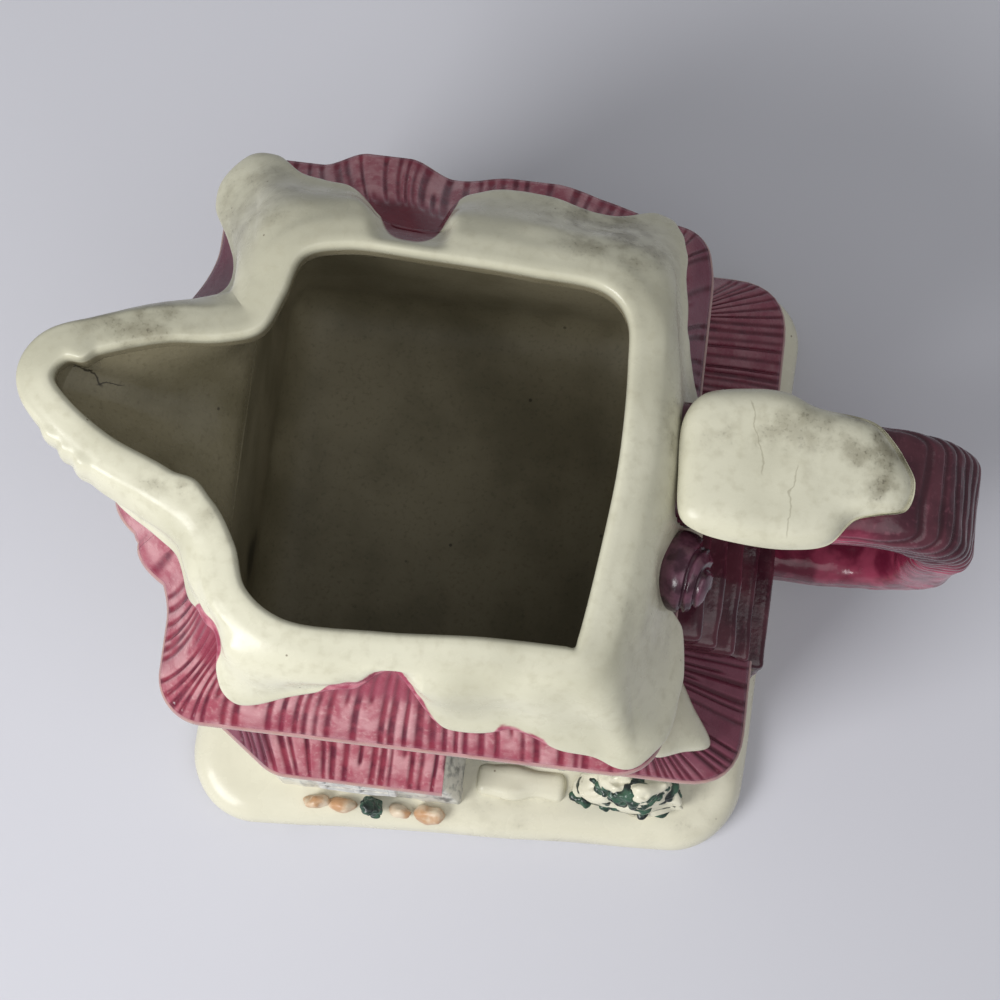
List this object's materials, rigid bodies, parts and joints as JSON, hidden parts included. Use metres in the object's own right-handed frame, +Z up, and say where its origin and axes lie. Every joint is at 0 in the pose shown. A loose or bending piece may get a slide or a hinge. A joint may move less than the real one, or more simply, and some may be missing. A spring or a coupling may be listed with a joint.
{
  "type": "cottage-shaped creamer",
  "caption": "Glazed ceramic creamer shaped as a snowy cottage: open roof as the mouth, pinched spout at one end and a brick loop handle at the other.",
  "frame": {"origin": "on the table, under the middle of the whole object's box", "axes": "+X from the spout to the handle, +Y from the front of the house to its back, +Z up"},
  "size_m": [0.1649, 0.122, 0.097],
  "materials": {
    "snow_glaze": "glossy cream glaze over a white body, fine specks and crazing",
    "roof_glaze": "glossy pink and crimson glaze, darker in the grooves",
    "brick_glaze": "glossy crimson glaze over brick relief",
    "plum_glaze": "glossy plum glaze over ribs",
    "wall_glaze": "glossy cream and bluish-white glaze",
    "timber_glaze": "brown painted relief under clear glaze",
    "pane_glaze": "amber painted panes under clear glaze",
    "leaf_glaze": "dark green painted foliage under clear glaze",
    "stone_glaze": "tan painted stones under clear glaze"
  },
  "bodies": {
    "root": {"snow_base": "snow_glaze", "roof_snow": "snow_glaze", "handle_snow": "snow_glaze", "shed_snow": "snow_glaze", "corner_bush_snow": "snow_glaze", "main_roof": "roof_glaze", "spout": "roof_glaze", "porch_roof": "roof_glaze", "handle": "brick_glaze", "chimney_breast": "brick_glaze", "chimney_knuckle": "plum_glaze", "front_shed_roof": "plum_glaze", "back_shed_roof": "plum_glaze", "house_walls": "wall_glaze", "front_shed_walls": "wall_glaze", "back_shed_walls": "wall_glaze", "porch_walls": "wall_glaze", "front_door_frame": "wall_glaze", "front_door": "timber_glaze", "porch_window_frame": "timber_glaze", "back_window_1_frame": "timber_glaze", "back_window_2_frame": "timber_glaze", "spout_end_window_1_frame": "timber_glaze", "spout_end_window_2_frame": "timber_glaze", "porch_window_panes": "pane_glaze", "back_window_1_panes": "pane_glaze", "back_window_2_panes": "pane_glaze", "spout_end_window_1_panes": "pane_glaze", "spout_end_window_2_panes": "pane_glaze", "porch_bush": "leaf_glaze", "corner_bush": "leaf_glaze", "yard_stone_1": "stone_glaze", "yard_stone_2": "stone_glaze", "yard_stone_3": "stone_glaze", "yard_stone_4": "stone_glaze", "door_step": "stone_glaze"}
  },
  "joints": []
}
